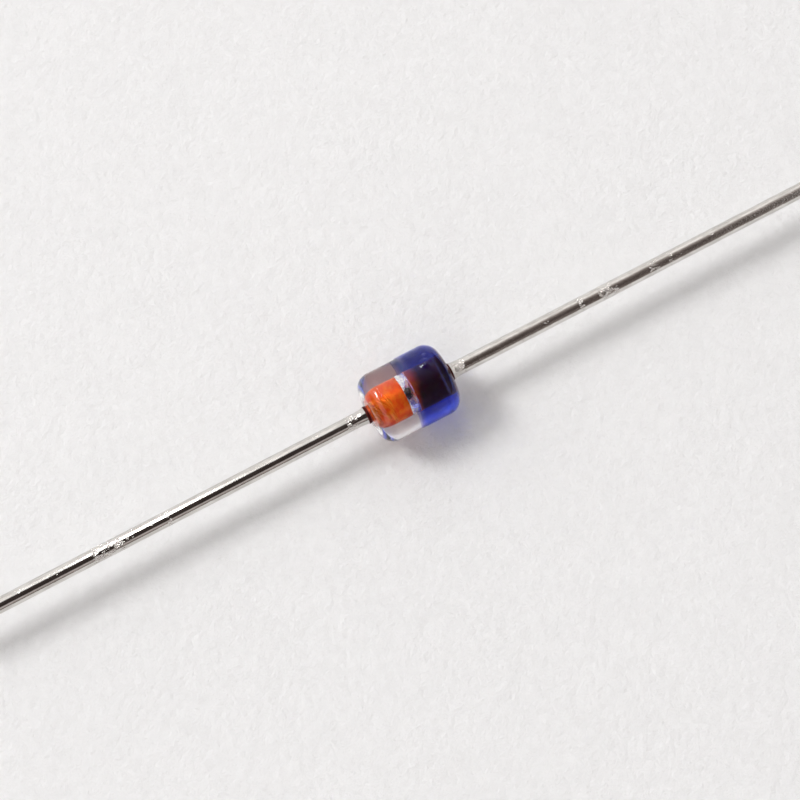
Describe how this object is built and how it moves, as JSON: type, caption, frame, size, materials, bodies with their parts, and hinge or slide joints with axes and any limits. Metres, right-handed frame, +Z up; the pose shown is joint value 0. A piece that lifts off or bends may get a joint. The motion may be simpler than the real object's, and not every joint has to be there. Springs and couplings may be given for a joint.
{
  "type": "diode",
  "caption": "Miniature axial diode: clear fused glass sleeve over copper-red slugs and a silicon chip, translucent blue cathode band, straight tinned wire leads.",
  "frame": {"origin": "middle of the glass sleeve on the lead axis", "axes": "+X along the leads from the anode end to the banded cathode end, +Z up as it lies on a flat surface"},
  "size_m": [0.026, 0.002, 0.002],
  "materials": {
    "clear_glass": "clear, fire-polished",
    "slug_oxide": "oxidised copper skin, orange-red",
    "chip_silicon": "dark sawn silicon",
    "bump_silver": "plated silver",
    "tinned_wire": "bright tin, lightly scuffed",
    "band_lacquer": "translucent gloss lacquer"
  },
  "bodies": {
    "root": {"glass_sleeve": "clear_glass", "anode_slug": "slug_oxide", "cathode_slug": "slug_oxide", "silicon_chip": "chip_silicon", "contact_bump": "bump_silver", "anode_lead": "tinned_wire", "cathode_lead": "tinned_wire", "cathode_band": "band_lacquer"}
  },
  "joints": []
}
